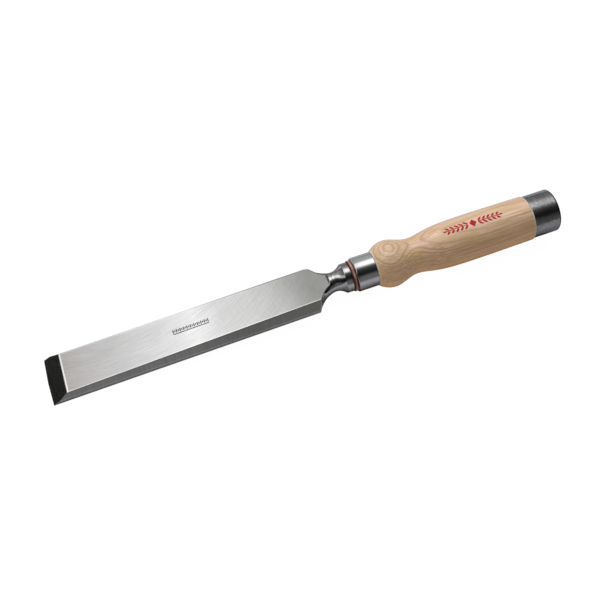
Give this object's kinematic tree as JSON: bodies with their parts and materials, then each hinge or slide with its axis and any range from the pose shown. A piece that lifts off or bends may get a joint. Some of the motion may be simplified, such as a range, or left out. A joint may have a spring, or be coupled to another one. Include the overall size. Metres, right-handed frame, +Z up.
{
  "type": "bevel-edge chisel",
  "caption": "Heavy bevel-edge wood chisel: wide tapered steel blade with a forged bolster, leather washer, steel ferrule, turned ash handle and steel striking hoop.",
  "frame": {"origin": "on the bench, under the centre of the tool's box, with the tool lying on its cutting edge and the bulb of its handle", "axes": "+X from the cutting edge towards the butt, +Y across the blade, +Z up out of the bevelled face"},
  "size_m": [0.3908, 0.0382, 0.0386],
  "materials": {
    "blade_steel": "ground bright, cross-ground face, polished neck",
    "washer_leather": "oiled brown sole leather with darker cut edges",
    "ferrule_steel": "polished",
    "handle_ash": null,
    "hoop_steel": "dark satin, lathe turned"
  },
  "bodies": {
    "root": {"blade": "blade_steel", "leather_washer": "washer_leather", "front_ferrule": "ferrule_steel", "handle": "handle_ash", "striking_hoop": "hoop_steel"}
  },
  "joints": []
}
